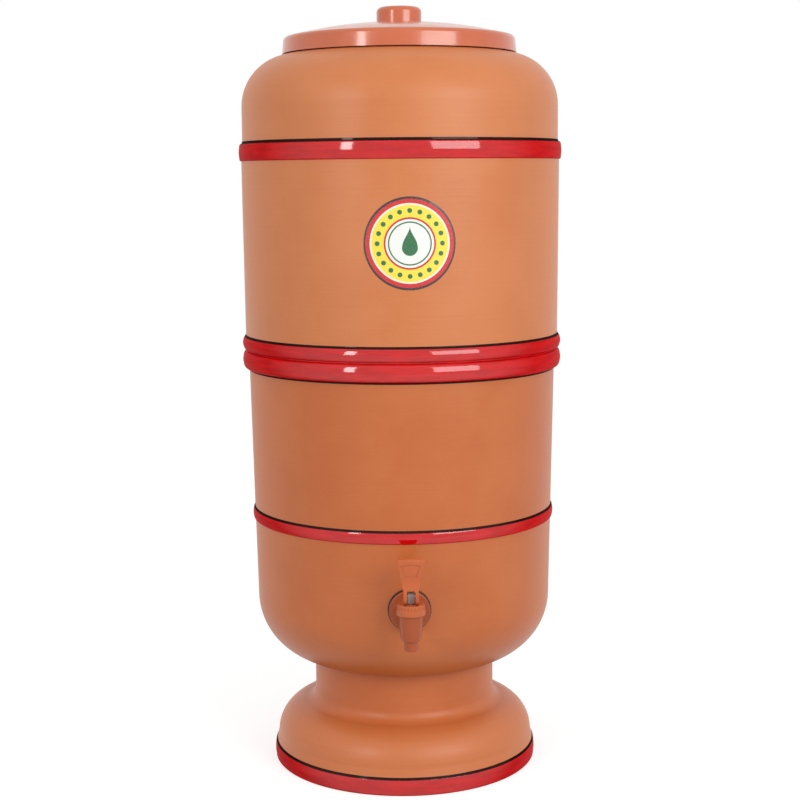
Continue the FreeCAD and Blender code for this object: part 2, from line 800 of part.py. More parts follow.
def tap_lever():
    """Lever with a forked foot, a cam under the fork and a dished paddle."""
    body = new_body("tap_lever", y="tap_axis", z="tap_height + pin_level")
    side = new_sketch(body, "side_outline", "YZ_Plane")
    edge = "(paddle_front + paddle_back) / 2"
    corners = [
        ("fork_back", "-cam_height"),
        *cam_corners(),
        ("-paddle_front", "paddle_root", "lever_throat_radius", LEFT),
        ("-paddle_front", f"paddle_height - {edge}"),
        (f"-paddle_front + {edge}", "paddle_height", edge, RIGHT),
        ("paddle_back", f"paddle_height - {edge}", edge, RIGHT),
        ("paddle_back", "paddle_root"),
        ("fork_back", "fork_slot_rise"),
    ]
    outline(side, corners)
    extrude(body, "side", side, depth="paddle_width", both_ways=True)
    front = new_sketch(body, "front_outline", "XZ_Plane")
    waste = f"paddle_width / 2 + {PAST}"
    waste_top = f"paddle_height + {PAST}"
    waste_bottom = f"-cam_height - {PAST}"
    frame = [
        (f"-({waste})", waste_bottom),
        (waste, waste_bottom),
        (waste, waste_top),
        (f"-({waste})", waste_top),
    ]
    outline(front, frame)
    half_fork, half_paddle = "fork_width / 2", "paddle_width / 2"
    keep_bottom = f"-cam_height - {PAST} / 2"
    corner_start = "paddle_height - paddle_corner"
    face = [
        (f"-{half_fork}", keep_bottom),
        (half_fork, keep_bottom),
        (half_fork, "fork_slot_rise"),
        (half_paddle, corner_start),
        (f"{half_paddle} - paddle_corner", f"paddle_height + {PAST} / 5", "paddle_corner * 2", LEFT),
        (f"paddle_corner - {half_paddle}", f"paddle_height + {PAST} / 5"),
        (f"-{half_paddle}", corner_start, "paddle_corner * 2", LEFT),
        (f"-{half_fork}", "fork_slot_rise"),
    ]
    outline(front, face)
    extrude(body, "front", front, cut=True, both_ways=True)
    slot = new_sketch(body, "slot_outline", "XZ_Plane")
    half_slot = "fork_slot / 2"
    slot_corners = [
        (f"-{half_slot}", keep_bottom),
        (half_slot, keep_bottom),
        (half_slot, "fork_slot_rise - fork_slot_round"),
        (f"{half_slot} - fork_slot_round", "fork_slot_rise", "fork_slot_round", LEFT),
        (f"fork_slot_round - {half_slot}", "fork_slot_rise"),
        (f"-{half_slot}", "fork_slot_rise - fork_slot_round", "fork_slot_round", LEFT),
    ]
    outline(slot, slot_corners)
    extrude(body, "slot", slot, cut=True, both_ways=True)
    bore = new_sketch(body, "pin_bore_circle", "YZ_Plane")
    ring(bore, "0", "0", "lever_pin_radius + pin_gap")
    extrude(body, "pin_bore", bore, cut=True, both_ways=True)
    dish = new_sketch(body, "dish_outline", "XZ_Plane", offset="paddle_front")
    half_top, half_foot = "paddle_width / 2 - dish_inset", "fork_width / 2 - dish_inset / 2"
    dish_top = "paddle_height - dish_inset - paddle_corner"
    dish_corners = [
        (f"-({half_foot})", "paddle_root + dish_inset"),
        (half_foot, "paddle_root + dish_inset"),
        (half_top, dish_top),
        (f"-({half_top})", dish_top, "paddle_width", LEFT),
    ]
    outline(dish, dish_corners)
    extrude(body, "dish", dish, depth="dish_depth", cut=True)


def lever_pin():
    """Pin through the fork of the lever and the head of the stem."""
    body = new_body("tap_lever_pin", y="tap_axis", z="tap_height + pin_level")
    section = new_sketch(body, "lever_pin_circle", "YZ_Plane")
    ring(section, "0", "0", "lever_pin_radius")
    length = "fork_width - 2 * lever_pin_inset"
    extrude(body, "lever_pin_rod", section, depth=length, both_ways=True)


def gentle_arc(start, corner, end):
    """The arc that leaves start and reaches end along the legs to a corner."""
    weight = (end - start).Length / (2 * (corner - start).Length)
    middle = (start + corner * (2 * weight) + end) * (1 / (2 + 2 * weight))
    return Part.Arc(start, middle, end).toShape()


def two_arcs(start, start_way, end, end_way):
    """Two arcs that join without a kink and leave and reach two points along given ways."""
    gap = end - start
    lean = 2 * (1 - start_way * end_way)
    along = gap * (start_way + end_way)
    leg = (math.sqrt(along**2 + lean * (gap * gap)) - along) / lean
    first, last = start + start_way * leg, end - end_way * leg
    middle = (first + last) / 2
    return [gentle_arc(start, first, middle), gentle_arc(middle, last, end)]


def tap_spring():
    """Compression spring between the collar of the stem and the bonnet, one wire from end to end."""
    radius, wire = size_of("spring_radius"), size_of("spring_wire")
    bottom = size_of("stem_collar_top + spring_end_gap") + wire / 2
    top = size_of("barrel_top - spring_end_gap") - wire / 2
    turns = int(size_of("spring_turns"))
    steps = 4 * turns
    rise = (top - bottom) / steps
    points, ways = [], []
    for number in range(steps + 1):
        angle = number * math.pi / 2
        spot = FreeCAD.Vector(math.cos(angle), math.sin(angle), 0) * radius
        points.append(spot + FreeCAD.Vector(0, 0, bottom + rise * number))
        way = FreeCAD.Vector(-math.sin(angle), math.cos(angle), 0) * (radius * math.pi / 2)
        ways.append((way + FreeCAD.Vector(0, 0, rise)).normalize())
    edges = []
    for number in range(steps):
        edges += two_arcs(points[number], ways[number], points[number + 1], ways[number + 1])
    section = Part.Wire(Part.Circle(points[0], ways[0], wire / 2).toShape())
    spring = document.addObject("Part::Feature", "tap_spring")
    spring.Label = "tap_spring"
    spring.Shape = Part.Wire(edges).makePipeShell([section], True, False)
    place(spring, y="tap_axis", z="tap_height")
    parts.append(spring)
    print(f"tap_spring: least gap between its turns {4 * rise - wire:.2f} mm")


def wall_form(name, corners):
    """A solid in the shape of an outline of the lower pot, to trim the rings on its wall."""
    body = document.addObject("PartDesign::Body", name)
    turn(body, f"{name}_turned", corners)
    return body


def cylinder_along_y(name, radius, length, start):
    """A solid cylinder at the height of the tap that runs inwards from a place before the wall."""
    cylinder = document.addObject("Part::Cylinder", name)
    bind(cylinder, "Radius", radius)
    bind(cylinder, "Height", length)
    place(cylinder, y=start, z="tap_height", tilt="-90")
    return cylinder


def boolean(kind, name, base, tool):
    """A boolean of two objects."""
    result = document.addObject(f"Part::{kind}", name)
    result.Base, result.Tool = base, tool
    return result


def tap_gaskets():
    """Rubber rings that follow the round wall inside and outside."""
    shank = "shank_radius + thread_gap"
    outer_face = "tap_axis + flange_back"
    length = "outer_gasket_thickness + clay_wall / 2"
    disc = cylinder_along_y("outer_disc", "outer_gasket_radius", length, outer_face)
    bore = cylinder_along_y("outer_bore", shank, f"clay_wall + {PAST}", f"{outer_face} - {PAST}")
    against_wall = boolean("Cut", "outer_disc_on_wall", disc, wall_form("pot_form", pot_outside()))
    outer = boolean("Cut", "tap_outer_gasket", against_wall, bore)
    inner_start = "tap_axis + tap_reach + clay_wall / 2"
    length = "inner_gasket_thickness + clay_wall / 2"
    disc = cylinder_along_y("inner_disc", "inner_gasket_radius", length, inner_start)
    bore = cylinder_along_y("inner_bore", shank, f"clay_wall + {PAST}", f"{inner_start} - {PAST}")
    against_wall = boolean("Common", "inner_disc_on_wall", disc, wall_form("bowl_form", pot_bowl()))
    inner = boolean("Cut", "tap_inner_gasket", against_wall, bore)
    parts.extend([outer, inner])


def tap_nut():
    """Hexagon nut with a washer face that draws the tap against the wall from inside."""
    body = new_body("tap_nut", y="tap_axis + inner_gasket_face", z="tap_height")
    face = new_sketch(body, "nut_washer_outline", "XZ_Plane")
    ring(face, "0", "0", "tap_nut_washer_radius")
    ring(face, "0", "0", "shank_radius + thread_gap")
    extrude(body, "nut_washer", face, depth="tap_nut_washer_thickness", backwards=True)
    flats = new_sketch(body, "nut_outline", "XZ_Plane", offset="-tap_nut_washer_thickness")
    hexagon(flats, "tap_nut_flats")
    ring(flats, "0", "0", "shank_radius + thread_gap")
    extrude(body, "nut", flats, depth="tap_nut_thickness", backwards=True)


def candle(side, sign):
    """A filter candle with the rings and the nut that hold it in the floor."""
    x = f"{sign}candle_offset"
    nozzle = "nozzle_radius + thread_gap"
    washer(
        f"candle_gasket_{side}",
        "candle_gasket_radius",
        nozzle,
        "candle_gasket_thickness",
        x=x,
        z="upper_floor",
    )
    body = new_body(f"candle_base_{side}", x=x, z="upper_floor")
    rim = "candle_base_radius"
    rim_top = "candle_gasket_thickness + base_height"
    seat_edge = "candle_radius + candle_seat_gap"
    base = [
        ("nozzle_bore", "nozzle_end"),
        ("nozzle_radius", "nozzle_end"),
        ("nozzle_radius", "candle_gasket_thickness"),
        (f"{rim} - base_wall", "candle_gasket_thickness"),
        (rim, "candle_gasket_thickness + base_wall", "base_wall", LEFT),
        (rim, rim_top),
        (seat_edge, rim_top),
        (seat_edge, "candle_seat"),
        ("nozzle_bore", "candle_seat"),
    ]
    turn(body, f"candle_cup_{side}", base)
    body = new_body(f"candle_shell_{side}", x=x, z="upper_floor")
    core = "candle_radius - candle_wall"
    shell = [
        (core, "candle_seat"),
        ("candle_radius", "candle_seat"),
        ("candle_radius", "candle_dome_foot"),
        ("0", "candle_dome_foot + candle_radius", "candle_radius", LEFT),
        ("0", f"candle_dome_foot + {core}"),
        (core, "candle_dome_foot", core, RIGHT),
    ]
    turn(body, f"candle_dome_{side}", shell)
    washer(
        f"candle_washer_{side}",
        "candle_washer_radius",
        nozzle,
        "candle_washer_thickness",
        x=x,
        z="upper_floor + candle_nut_top",
    )
    body = new_body(f"candle_nut_{side}", x=x, z="upper_floor + candle_nut_top")
    section = new_sketch(body, f"candle_nut_outline_{side}", "XY_Plane")
    hexagon(section, "candle_nut_flats")
    ring(section, "0", "0", nozzle)
    extrude(body, f"candle_nut_hex_{side}", section, depth="candle_nut_thickness", backwards=True)


def float_valve(side, sign):
    """The valve that shuts a candle off: a body on its nozzle, an arm on a pin and a float."""
    x = f"{sign}candle_offset"
    body = new_body(f"float_valve_{side}", x=x, z="upper_floor")
    socket = "nozzle_radius + thread_gap"
    tip_top = "valve_bottom + valve_tip_height"
    turned = [
        ("valve_bore", "valve_bottom"),
        ("valve_tip_radius", "valve_bottom"),
        ("valve_tip_radius", tip_top),
        ("valve_radius", f"{tip_top} + valve_radius - valve_tip_radius - lug_round"),
        ("valve_radius", "valve_top"),
        (socket, "valve_top"),
        (socket, "nozzle_end - thread_gap"),
        ("valve_bore", "nozzle_end - thread_gap"),
    ]
    turn(body, f"valve_body_{side}", turned)
    lugs = new_sketch(body, f"lug_outline_{side}", "YZ_Plane")
    lug_root = "valve_radius - lug_thickness"
    corners = [
        (lug_root, "nozzle_end"),
        (lug_root, "pivot_level"),
        ("pivot_offset", "pivot_level - lug_round", "lug_round * 1.5", LEFT),
        ("pivot_offset + lug_round", "pivot_level", "lug_round", LEFT),
        ("pivot_offset + lug_round", f"{tip_top} + lug_thickness"),
    ]
    outline(lugs, corners)
    span = "arm_width + 2 * lug_gap + 2 * lug_thickness"
    extrude(body, f"lugs_{side}", lugs, depth=span, both_ways=True)
    gap = new_sketch(body, f"lug_gap_outline_{side}", "YZ_Plane")
    gap_corners = [
        ("valve_tip_radius", tip_top),
        ("valve_tip_radius", f"pivot_level - {PAST}"),
        (f"pivot_offset + {PAST}", f"pivot_level - {PAST}"),
        (f"pivot_offset + {PAST}", tip_top),
    ]
    outline(gap, gap_corners)
    extrude(body, f"lug_gap_{side}", gap, depth="arm_width + 2 * lug_gap", cut=True, both_ways=True)
    holes = new_sketch(body, f"lug_hole_circle_{side}", "YZ_Plane")
    ring(holes, "pivot_offset", "pivot_level", "float_pin_radius + pin_gap")
    extrude(body, f"lug_holes_{side}", holes, cut=True, both_ways=True)
    pivot = {"x": x, "y": "pivot_offset", "z": "upper_floor + pivot_level"}
    body = new_body(f"float_pin_{side}", **pivot)
    section = new_sketch(body, f"float_pin_circle_{side}", "YZ_Plane")
    ring(section, "0", "0", "float_pin_radius")
    extrude(body, f"float_pin_rod_{side}", section, depth=span, both_ways=True)
    float_arm(side, pivot)


def float_arm(side, pivot):
    """Arm, rubber pad and float, drawn level about the pivot and then let hang."""
    body = new_body(f"float_arm_{side}", tilt="float_hang", **pivot)
    bar = new_sketch(body, f"arm_outline_{side}", "YZ_Plane")
    half = "arm_thickness / 2"
    eye = "lug_round"
    corners = [
        ("-bulb_start", f"-{half}"),
        (f"-{eye} * 1.5", f"-{half}"),
        ("0", f"-{eye}", f"{eye} * 3", LEFT),
        (eye, "0", eye, LEFT),
        ("0", eye, eye, LEFT),
        (f"-{eye} * 1.5", half, f"{eye} * 3", LEFT),
        ("-bulb_start", half),
    ]
    outline(bar, corners)
    extrude(body, f"arm_bar_{side}", bar, depth="arm_width", both_ways=True)
    spigot = [
        ("-bulb_start - bulb_socket_depth", "0"),
        ("-bulb_start - bulb_socket_depth", "bulb_socket_radius"),
        ("-bulb_start + arm_thickness", "bulb_socket_radius"),
        ("-bulb_start + arm_thickness", "0"),
    ]
    turn(body, f"arm_spigot_{side}", spigot, plane="YZ_Plane", axis="H_Axis")
    eye_hole = new_sketch(body, f"arm_eye_circle_{side}", "YZ_Plane")
    ring(eye_hole, "0", "0", "float_pin_radius + pin_gap")
    extrude(body, f"arm_eye_{side}", eye_hole, cut=True, both_ways=True)
    pocket = new_sketch(body, f"pad_pocket_circle_{side}", "XY_Plane", offset="arm_thickness / 2")
    ring(pocket, "0", "-pivot_offset", "pad_radius + pin_gap")
    depth = "pad_thickness - pad_proud"
    extrude(body, f"pad_pocket_{side}", pocket, depth=depth, cut=True)
    body = new_body(f"float_pad_{side}", tilt="float_hang", **pivot)
    disc = new_sketch(body, f"pad_circle_{side}", "XY_Plane", offset="pad_top")
    ring(disc, "0", "-pivot_offset", "pad_radius")
    extrude(body, f"pad_disc_{side}", disc, depth="pad_thickness", backwards=True)
    body = new_body(f"float_bulb_{side}", tilt="float_hang", **pivot)
    socket = "bulb_socket_radius + bulb_gap"
    socket_end = "-bulb_start - bulb_socket_depth - bulb_gap"
    bulb = [
        ("-bulb_end", "0"),
        ("-bulb_end", "bulb_radius - bulb_round"),
        ("-bulb_end + bulb_round", "bulb_radius", "bulb_round", RIGHT),
        ("-bulb_start - bulb_round", "bulb_radius"),
        ("-bulb_start", "bulb_radius - bulb_round", "bulb_round", RIGHT),
        ("-bulb_start", socket),
        (socket_end, socket),
        (socket_end, "0"),
    ]
    turn(body, f"bulb_{side}", bulb, plane="YZ_Plane", axis="H_Axis")


def check():
    """Stop if an object failed, a cut took nothing away or a piece isn't one sound solid."""
    for item in document.Objects:
        if {"Invalid", "Error"} & set(item.State):
            raise RuntimeError(f"{item.Label} failed: {item.State}")
        base = getattr(item, "BaseFeature", None)
        if base and item.TypeId in ("PartDesign::Pocket", "PartDesign::Groove"):
            if item.Shape.Volume > base.Shape.Volume - 0.01:
                raise RuntimeError(f"{item.Label} cuts nothing")
    for piece in parts:
        shape = piece.Shape
        if shape.isNull() or not shape.isValid() or len(shape.Solids) != 1:
            raise RuntimeError(f"{piece.Label} is not one valid solid")


lower_chamber()
upper_chamber()
lid()
tap_body()
tap_bonnet()
tap_stem()
tap_lever()
lever_pin()
washer(
    "tap_seat_washer",
    "washer_radius",
    "stem_nib_radius",
    "washer_thickness",
    y="tap_axis",
    z="tap_height + washer_bottom",
)
washer(
    "tap_stem_seal",
    "seal_radius - stem_gap",
    "stem_radius + stem_gap",
    "seal_depth",
    y="tap_axis",
    z="tap_height + barrel_top",
)
tap_spring()
tap_gaskets()
tap_nut()
for side, sign in (("left", "-"), ("right", "")):
    candle(side, sign)
    float_valve(side, sign)

document.recompute()
check()
os.makedirs("parts", exist_ok=True)
for piece in parts:
    piece.Shape.exportStep(os.path.join("parts", f"{piece.Label}.step"))
print(f"{len(parts)} pieces written")
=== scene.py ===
"""Looks of a clay water filter: two chambers with enamelled bands, a lid and a lever tap."""

import logging
import math
from dataclasses import dataclass, field
from enum import Enum
from functools import cache, partial

import bmesh
import bpy
from mathutils import Matrix, Vector
from mathutils.bvhtree import BVHTree


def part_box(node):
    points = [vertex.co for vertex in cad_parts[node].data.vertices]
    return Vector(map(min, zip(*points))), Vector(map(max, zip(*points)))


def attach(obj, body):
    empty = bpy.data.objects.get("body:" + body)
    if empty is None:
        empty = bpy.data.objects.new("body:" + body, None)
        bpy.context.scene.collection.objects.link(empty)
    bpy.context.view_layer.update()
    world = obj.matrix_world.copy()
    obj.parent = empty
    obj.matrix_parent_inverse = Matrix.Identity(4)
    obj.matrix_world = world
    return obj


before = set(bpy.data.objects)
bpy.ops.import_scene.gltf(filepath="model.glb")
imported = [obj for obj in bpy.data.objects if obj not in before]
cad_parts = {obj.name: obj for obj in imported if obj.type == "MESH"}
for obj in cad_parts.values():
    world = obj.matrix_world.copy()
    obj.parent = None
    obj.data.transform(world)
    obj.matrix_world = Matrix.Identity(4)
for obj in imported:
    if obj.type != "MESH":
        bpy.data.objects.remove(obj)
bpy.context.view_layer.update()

MM = 0.001
SAME_PLACE = 0.0001 * MM
SHARP_EDGE = math.radians(40.0)
LOG = logging.getLogger("water_filter")
Colour = tuple[float, float, float]
Profile = list[tuple[float, float]]


class Body(Enum):
    """The moving bodies that pieces ride on."""

    LOWER = "root"
    UPPER = "upper"


class Side(Enum):
    """The edge of a band that its dark line follows."""

    ABOVE = 1
    BELOW = -1


class Slot(Enum):
    """Material slot names for the new pieces, which nothing in the script hands out."""

    CLAY = "terracotta"
    RED = "red_enamel"
    BLACK = "black_enamel"
    LABEL = "label_print"


class Shade:
    """The output of a shader node, with arithmetic that adds Math nodes."""

    def __init__(self, recipe: "Recipe", socket: bpy.types.NodeSocket) -> None:
        """Wrap a socket.

        Args:
            recipe: The node tree that the socket belongs to.
            socket: The output socket.
        """
        self.recipe = recipe
        self.socket = socket

    def _math(self, operation: str, first: "Shade | float", second: "Shade | float") -> "Shade":
        """Add one Math node.

        Args:
            operation: What the node does.
            first: Its first value.
            second: Its second value.

        Returns:
            The node's result.
        """
        return self.recipe.node("Math", {"operation": operation}, {0: first, 1: second})

    def __add__(self, other: "Shade | float") -> "Shade":
        """The sum with another value."""
        return self._math("ADD", self, other)

    def __sub__(self, other: "Shade | float") -> "Shade":
        """The difference to another value."""
        return self._math("SUBTRACT", self, other)

    def __mul__(self, other: "Shade | float") -> "Shade":
        """The product with another value."""
        return self._math("MULTIPLY", self, other)

    def __pow__(self, other: "Shade | float") -> "Shade":
        """This value to a power."""
        return self._math("POWER", self, other)

    def __rsub__(self, other: float) -> "Shade":
        """A number less this value."""
        return self._math("SUBTRACT", other, self)

    def __rpow__(self, other: float) -> "Shade":
        """A number to the power of this value."""
        return self._math("POWER", other, self)

    __radd__ = __add__
    __rmul__ = __mul__

    def below(self, limit: "Shade | float") -> "Shade":
        """1 where this value is under a limit, else 0."""
        return self._math("LESS_THAN", self, limit)

    def least(self, other: "Shade | float") -> "Shade":
        """The lesser of this and another value."""
        return self._math("MINIMUM", self, other)

    def most(self, other: "Shade | float") -> "Shade":
        """The greater of this and another value."""
        return self._math("MAXIMUM", self, other)

    def spread(self, low: float, high: float, first: float = 0.0, last: float = 1.0) -> "Shade":
        """Map a range of this value to another one, clamped at its ends.

        Args:
            low: The value that becomes first.
            high: The value that becomes last.
            first: The result at and past low.
            last: The result at and past high.

        Returns:
            The mapped value.
        """
        values = {"Value": self, "From Min": low, "From Max": high, "To Min": first, "To Max": last}
        return self.recipe.node("MapRange", {"interpolation_type": "SMOOTHSTEP"}, values)


class Recipe:
    """The node tree of a material or of the world."""

    def __init__(self, owner: bpy.types.Material | bpy.types.World) -> None:
        """Start an empty tree.

        Args:
            owner: The new material or world.
        """
        owner.use_nodes = True
        self.owner = owner
        self.tree = owner.node_tree
        self.tree.nodes.clear()

    @classmethod
    def of_material(cls, name: str) -> "Recipe":
        """Start a new material of a name."""
        return cls(bpy.data.materials.new(name))

    def node(
        self,
        kind: str,
        settings: dict[str, object] | None = None,
        values: dict[str | int, object] | None = None,
        output: str | int = 0,
    ) -> Shade:
        """Add a node.

        Args:
            kind: The node's type, without its prefix.
            settings: The node's own settings, which are set first.
            values: A number, colour or Shade for each of its sockets.
            output: The output that is returned.

        Returns:
            The output.
        """
        return Shade(self, self._add(kind, settings, values).outputs[output])

    def _add(
        self, kind: str, settings: dict[str, object] | None, values: dict[str | int, object] | None
    ) -> bpy.types.Node:
        """Add a node and fill its settings, then its sockets.

        Args:
            kind: The node's type, without its prefix.
            settings: The node's own settings.
            values: A number, colour or Shade for each of its sockets.

        Returns:
            The node.
        """
        node = self.tree.nodes.new(f"ShaderNode{kind}")
        for name, value in (settings or {}).items():
            setattr(node, name, value)
        for key, value in (values or {}).items():
            if isinstance(value, Shade):
                self.tree.links.new(value.socket, node.inputs[key])
            else:
                node.inputs[key].default_value = value
        return node

    def place(self, shift: Vector | None = None, scale: Colour = (1.0, 1.0, 1.0)) -> Shade:
        """The place on the piece in metres.

        Args:
            shift: The place that becomes the origin.
            scale: How many times each axis is stretched.

        Returns:
            The place as a vector.
        """
        place = self.node("TexCoord", output="Object")
        if shift is not None:
            place = self.node("VectorMath", {"operation": "SUBTRACT"}, {0: place, 1: shift})
        if scale == (1.0, 1.0, 1.0):
            return place
        return self.node("VectorMath", {"operation": "MULTIPLY"}, {0: place, 1: scale})

    def noise(self, place: Shade, scale: float, detail: float = 3.0, rough: float = 0.5) -> Shade:
        """Cloudy noise from 0 to 1.

        Args:
            place: The vector that it reads.
            scale: How many clouds there are in a metre.
            detail: How many finer layers it has.
            rough: How strong the finer layers are.

        Returns:
            The noise.
        """
        values = {"Vector": place, "Scale": scale, "Detail": detail, "Roughness": rough}
        return self.node("TexNoise", values=values)

    def mix(self, share: Shade | float, first: object, second: object) -> Shade:
        """Blend two colours.

        Args:
            share: How much of the second colour there is.
            first: A colour or Shade.
            second: A colour or Shade.

        Returns:
            The blended colour.
        """
        pair = [value if isinstance(value, Shade) else (*value, 1.0) for value in (first, second)]
        values = {0: share, 6: pair[0], 7: pair[1]}
        return self.node("Mix", {"data_type": "RGBA"}, values, output=2)

    def bump(self, height: Shade, depth: float, under: Shade | None = None) -> Shade:
        """A relief for the shader's normal.

        Args:
            height: The relief from 0 to 1.
            depth: The height of the relief in metres.
            under: The normal that it is laid on.

        Returns:
            The normal.
        """
        values: dict[str | int, object] = {"Height": height, "Distance": depth, "Strength": 1.0}
        if under is not None:
            values["Normal"] = under
        return self.node("Bump", values=values)

    def soft_edges(self, radius: float) -> Shade:
        """A normal that rounds the edges of a moulded piece."""
        return self.node("Bevel", {"samples": 6}, {"Radius": radius})

    def finish(self, changing: dict[str, object], steady: dict[str, object]) -> bpy.types.Material:
        """Join the shader to the output.

        Args:
            changing: Sockets of the shader whose values change over the surface.
            steady: Sockets of the shader that hold one value.

        Returns:
            The finished material.
        """
        self.close("OutputMaterial", self.node("BsdfPrincipled", values={**steady, **changing}))
        return self.owner

    def close(self, kind: str, shader: Shade) -> None:
        """Join a shader to an output node of a kind."""
        self._add(kind, None, {"Surface": shader})

    def in_sight(self) -> Shade:
        """What the eye meets, be it straight, in a gloss or through glass.

        Returns:
            1 for such a ray, and 0 for soft light.
        """
        names = ("Is Camera Ray", "Is Glossy Ray", "Is Transmission Ray")
        camera, glossy, through = (self.node("LightPath", output=name) for name in names)
        return (camera + glossy + through).least(1.0)


@dataclass(frozen=True)
class FiredClay:
    """Unglazed red clay, burnished on the wheel, with painted light that makes it paler towards the
    foot.
    """

    name: str
    tone: Colour
    pale: Colour
    dark: Colour
    roughness: float = 0.37
    ior: float = 1.47
    evenness: float = 0.62
    painted_light_reach: float = 60.0 * MM
    foot_painted_light: float = 0.8
    ring_stretch: float = 60.0
    ring_scale: float = 9.0
    ring_depth: float = 0.12 * MM
    cloud_scale: float = 14.0
    grain_scale: float = 2400.0
    grain_depth: float = 0.03 * MM
    grit_scale: float = 420.0
    grit_share: float = 0.22

    def make(self) -> bpy.types.Material:
        """Make the material.

        Returns:
            Clay with cloudy tones, fine grain, a few grits and faint rings from the wheel.
        """
        recipe = Recipe.of_material(self.name)
        place = recipe.place()
        along = recipe.place(scale=(1.0, 1.0, self.ring_stretch))
        rings = recipe.noise(along, self.ring_scale, 4.0, 0.6)
        clouds = recipe.noise(place, self.cloud_scale, 4.0, 0.55)
        grain = recipe.noise(place, self.grain_scale, 2.0, 0.7)
        grits = recipe.node("TexVoronoi", values={"Vector": place, "Scale": self.grit_scale})
        specks = grits.spread(0.06, 0.16, 1.0, 0.0)
        height = recipe.node("SeparateXYZ", values={0: place}, output="Z")
        # Painted light: the clay is mixed paler towards the foot, standing in for the light that
        # falls on it.
        foot = height.spread(self.painted_light_reach / 2.0, self.painted_light_reach, self.foot_painted_light, 0.0)
        colour = recipe.mix(clouds.spread(0.30, 0.70), self.dark, self.pale)
        colour = recipe.mix(self.evenness, colour, self.tone)
        colour = recipe.mix(foot, colour, self.pale)
        colour = recipe.mix(rings.spread(0.35, 0.75) * 0.10, colour, self.dark)
        colour = recipe.mix(grain.spread(0.30, 0.75) * 0.10, colour, self.pale)
        colour = recipe.mix(specks * self.grit_share, colour, self.dark)
        rough = clouds.spread(0.3, 0.7, self.roughness - 0.03, self.roughness + 0.05) + grain * 0.06
        relief = recipe.bump(grain, self.grain_depth, recipe.bump(rings, self.ring_depth))
        changing = {"Base Color": colour, "Roughness": rough, "Normal": relief}
        return recipe.finish(changing, {"IOR": self.ior})


@dataclass(frozen=True)
class Enamel:
    """Fired enamel laid on the clay with a brush."""

    name: str
    tone: Colour
    deep: Colour
    gloss: float = 1.0
    edge_gloss: float = 0.12
    roughness: float = 0.07
    ior: float = 1.54
    flow_stretch: float = 7.0
    flow_scale: float = 46.0
    dust_scale: float = 1500.0
    ripple_scale: float = 210.0
    ripple_depth: float = 0.035 * MM

    def make(self) -> bpy.types.Material:
        """Make the material.

        Returns:
            A hard gloss over a colour that deepens where the enamel lies thick.
        """
        recipe = Recipe.of_material(self.name)
        place = recipe.place()
        along = recipe.place(scale=(1.0, 1.0, self.flow_stretch))
        flow = recipe.noise(along, self.flow_scale, 3.0, 0.5)
        dust = recipe.noise(place, self.dust_scale, 2.0, 0.6)
        ripple = recipe.noise(place, self.ripple_scale, 2.0, 0.4)
        facing = recipe.node("LayerWeight", values={"Blend": 0.5}, output="Facing")
        shine = facing.spread(0.12, 0.50, self.gloss, self.edge_gloss)
        changing = {
            "Base Color": recipe.mix(flow.spread(0.35, 0.68), self.tone, self.deep),
            "Roughness": dust.spread(0.45, 0.8, self.roughness, self.roughness + 0.05),
            "Coat Weight": shine - dust.spread(0.5, 0.9, 0.0, 0.05),
            "Normal": recipe.bump(ripple, self.ripple_depth),
        }
        steady = {"Specular IOR Level": 0.0, "Coat Roughness": self.roughness, "Coat IOR": self.ior}
        return recipe.finish(changing, steady)


@dataclass(frozen=True)
class MouldedPlastic:
    """Moulded plastic with softened edges."""

    name: str
    tone: Colour
    pale: Colour
    roughness: float
    edge: float = 0.35 * MM
    coat: float = 0.0
    coat_roughness: float = 0.08
    sheen: float = 0.5
    flow_scale: float = 55.0
    grain_scale: float = 2600.0
    grain_depth: float = 0.012 * MM

    def make(self) -> bpy.types.Material:
        """Make the material.

        Returns:
            Plastic with flow marks, a fine texture and rounded edges.
        """
        recipe = Recipe.of_material(self.name)
        place = recipe.place()
        flow = recipe.noise(place, self.flow_scale, 3.0, 0.5)
        grain = recipe.noise(place, self.grain_scale, 2.0, 0.6)
        colour = recipe.mix(flow.spread(0.32, 0.72) * 0.45, self.tone, self.pale)
        colour = recipe.mix(grain.spread(0.5, 0.9) * 0.15, colour, self.pale)
        rough = flow.spread(0.3, 0.7, self.roughness - 0.03, self.roughness + 0.05)
        relief = recipe.bump(grain, self.grain_depth, recipe.soft_edges(self.edge))
        changing = {"Base Color": colour, "Roughness": rough, "Normal": relief}
        steady = {
            "Coat Weight": self.coat,
            "Coat Roughness": self.coat_roughness,
            "Specular IOR Level": self.sheen,
        }
        return recipe.finish(changing, steady)


@dataclass(frozen=True)
class Rubber:
    """Soft black rubber with a dusty bloom."""

    name: str = "rubber"
    tone: Colour = (0.012, 0.011, 0.011)
    bloom: Colour = (0.055, 0.050, 0.048)
    bloom_scale: float = 160.0
    grain_scale: float = 1900.0
    grain_depth: float = 0.02 * MM

    def make(self) -> bpy.types.Material:
        """Make the material.

        Returns:
            Rubber with patches of bloom.
        """
        recipe = Recipe.of_material(self.name)
        place = recipe.place()
        bloom = recipe.noise(place, self.bloom_scale, 4.0, 0.6)
        colour = recipe.mix(bloom.spread(0.42, 0.75), self.tone, self.bloom)
        rough = bloom.spread(0.3, 0.7, 0.48, 0.66)
        relief = recipe.bump(recipe.noise(place, self.grain_scale), self.grain_depth)
        return recipe.finish({"Base Color": colour, "Roughness": rough, "Normal": relief}, {})


